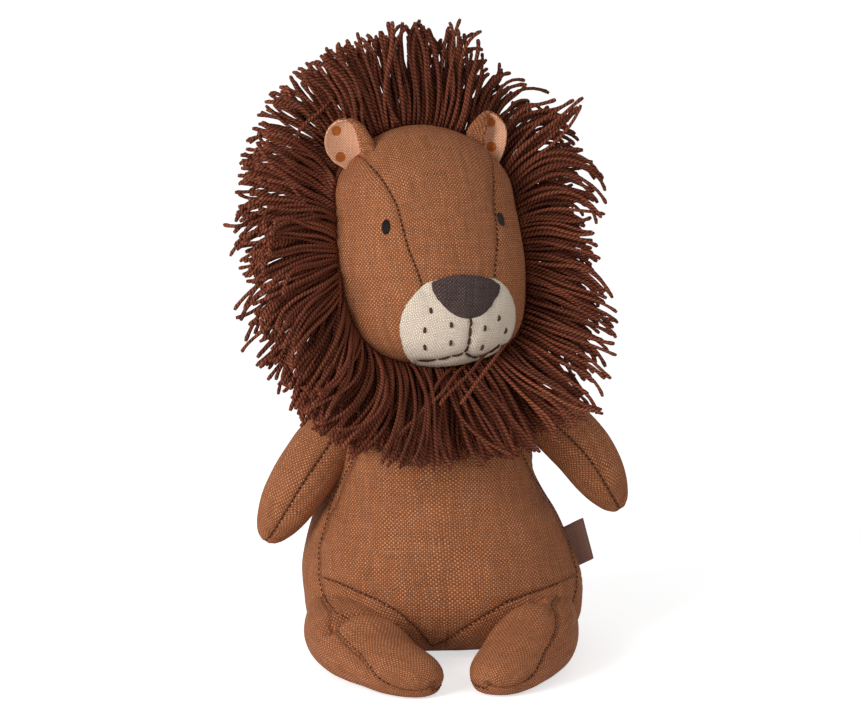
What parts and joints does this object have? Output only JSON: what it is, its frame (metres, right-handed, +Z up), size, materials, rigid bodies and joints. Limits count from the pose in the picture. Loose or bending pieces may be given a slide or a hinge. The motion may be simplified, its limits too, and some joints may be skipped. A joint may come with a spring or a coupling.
{
  "type": "plush lion",
  "caption": "Seated stuffed lion in caramel linen with a long dark yarn mane, pale muzzle, cupped ears and soft hinged head, arms, legs and tail.",
  "frame": {"origin": "on the ground, under the middle of the toy's box", "axes": "+Z up, the lion faces -Y, +X to the viewer's right"},
  "size_m": [0.133, 0.1282, 0.2078],
  "materials": {
    "linen": "plain weave, matte",
    "lining": "printed cotton, matte",
    "cream_linen": "plain weave, matte",
    "charcoal_linen": "plain weave, matte",
    "eye_thread": "satin embroidery",
    "yarn": "twisted yarn, matte",
    "thread": "stitching thread, matte",
    "ribbon": "woven ribbon, satin",
    "fibre": "loose fibre fill"
  },
  "bodies": {
    "torso": {"torso_stuffing": "fibre", "belly_panel": "linen", "back_panel_left": "linen", "back_panel_right": "linen", "seat_panel": "linen", "side_label": "ribbon"},
    "neck": {"neck_thread": "thread"},
    "head": {"head_stuffing": "fibre", "head_gusset": "linen", "cheek_left": "linen", "cheek_right": "linen", "head_back": "linen", "muzzle_patch": "cream_linen", "nose_patch": "charcoal_linen", "mouth_stitch": "thread", "eye_left": "eye_thread", "eye_right": "eye_thread", "ear_left_lining": "lining", "ear_left_back": "linen", "ear_right_lining": "lining", "ear_right_back": "linen", "mane_tape": "linen", "mane_front_top_left": "yarn", "mane_front_top_right": "yarn", "mane_front_side_left": "yarn", "mane_front_side_right": "yarn", "mane_front_low_left": "yarn", "mane_front_low_right": "yarn", "mane_bib": "yarn", "mane_back_top_left": "yarn", "mane_back_top_right": "yarn", "mane_back_side_left": "yarn", "mane_back_side_right": "yarn", "mane_back_low_left": "yarn", "mane_back_low_right": "yarn"},
    "arm_left": {"arm_left_stuffing": "fibre", "arm_left_inner": "linen", "arm_left_outer": "linen"},
    "arm_right": {"arm_right_stuffing": "fibre", "arm_right_inner": "linen", "arm_right_outer": "linen"},
    "leg_left": {"leg_left_stuffing": "fibre", "leg_left_top": "linen", "leg_left_sole": "linen"},
    "leg_right": {"leg_right_stuffing": "fibre", "leg_right_top": "linen", "leg_right_sole": "linen"},
    "tail": {"tail": "linen", "tail_tuft": "yarn"}
  },
  "joints": [
    {"name": "head_turn", "type": "hinge", "parent": "torso", "child": "neck", "pos_m": [-0.00262, 0.0107, 0.1114], "axis": [-0.014, 0, 0.9999], "range_deg": [-36, 20], "stiffness_Nm_per_rad": 0.3, "deforming": ["mane_bib", "mane_front_low_left", "mane_front_low_right", "mane_back_low_left", "mane_back_low_right", "mane_front_side_left", "mane_front_side_right", "mane_back_side_left", "mane_back_side_right"]},
    {"name": "head_nod", "type": "hinge", "parent": "neck", "child": "head", "pos_m": [-0.00262, 0.0107, 0.1114], "axis": [0.9613, 0.2756, 0], "range_deg": [-10, 8], "stiffness_Nm_per_rad": 0.5, "deforming": ["mane_bib", "mane_front_low_left", "mane_front_low_right", "mane_back_low_left", "mane_back_low_right", "mane_front_side_left", "mane_front_side_right", "mane_back_side_left", "mane_back_side_right"]},
    {"name": "arm_left_swing", "type": "hinge", "parent": "torso", "child": "arm_left", "pos_m": [-0.0258, 0.0077, 0.0825], "axis": [0, 1, 0], "range_deg": [0, 50], "stiffness_Nm_per_rad": 0.05, "deforming": ["mane_bib", "mane_front_low_left", "mane_front_low_right", "mane_back_low_left", "mane_back_low_right", "mane_front_side_left", "mane_front_side_right", "mane_back_side_left", "mane_back_side_right"]},
    {"name": "arm_right_swing", "type": "hinge", "parent": "torso", "child": "arm_right", "pos_m": [0.0248, 0.0097, 0.083], "axis": [0, -1, 0], "range_deg": [0, 50], "stiffness_Nm_per_rad": 0.05, "deforming": ["mane_bib", "mane_front_low_left", "mane_front_low_right", "mane_back_low_left", "mane_back_low_right", "mane_front_side_left", "mane_front_side_right", "mane_back_side_left", "mane_back_side_right"]},
    {"name": "leg_left_splay", "type": "hinge", "parent": "torso", "child": "leg_left", "pos_m": [-0.0272, 0.0007, 0.0143], "axis": [0, 0, -1], "range_deg": [0, 10], "stiffness_Nm_per_rad": 0.1},
    {"name": "leg_right_splay", "type": "hinge", "parent": "torso", "child": "leg_right", "pos_m": [0.0348, 0.0007, 0.0143], "axis": [0, 0, 1], "range_deg": [0, 10], "stiffness_Nm_per_rad": 0.1},
    {"name": "tail_swing", "type": "hinge", "parent": "torso", "child": "tail", "pos_m": [0.0038, 0.0471, 0.017], "axis": [0, 0, 1], "range_deg": [-15, 15], "stiffness_Nm_per_rad": 0.005}
  ]
}
